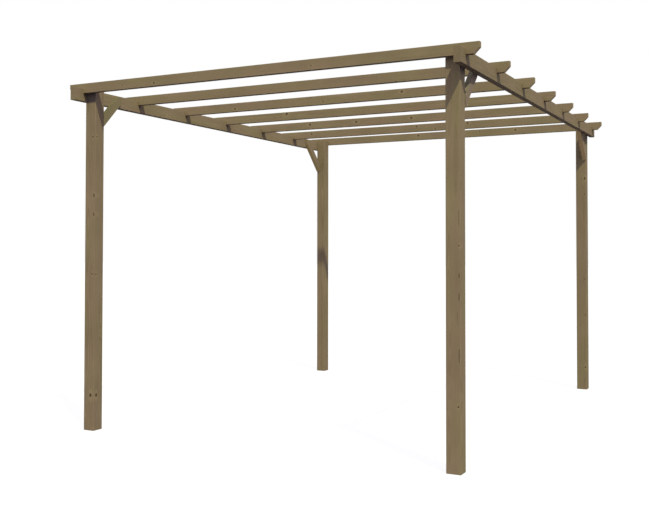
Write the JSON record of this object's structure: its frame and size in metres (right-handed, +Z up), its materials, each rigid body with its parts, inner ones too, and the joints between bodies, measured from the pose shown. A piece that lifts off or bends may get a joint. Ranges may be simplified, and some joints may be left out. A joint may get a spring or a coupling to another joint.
{
  "type": "wooden pergola",
  "caption": "Free-standing open timber pergola: square posts, side beams with knee braces, and rafters half-lapped over the beams with shaped ends.",
  "frame": {"origin": "on the ground, in the middle of the four posts", "axes": "+X to the right seen from the front, +Y to the back along the side beams, +Z up"},
  "size_m": [3.158, 4, 2.554],
  "materials": {
    "post_timber": "planed, pressure-treated brown softwood",
    "beam_timber": "planed, pressure-treated brown softwood",
    "rafter_timber": "planed, pressure-treated brown softwood",
    "brace_timber": "planed, pressure-treated brown softwood"
  },
  "bodies": {
    "root": {"beam_left": "beam_timber", "beam_right": "beam_timber", "post_front_left": "post_timber", "post_front_right": "post_timber", "post_back_left": "post_timber", "post_back_right": "post_timber", "brace_front_left": "brace_timber", "brace_front_right": "brace_timber", "brace_back_left": "brace_timber", "brace_back_right": "brace_timber", "rafter_1": "rafter_timber", "rafter_2": "rafter_timber", "rafter_3": "rafter_timber", "rafter_4": "rafter_timber", "rafter_5": "rafter_timber", "rafter_6": "rafter_timber", "rafter_7": "rafter_timber"}
  },
  "joints": []
}
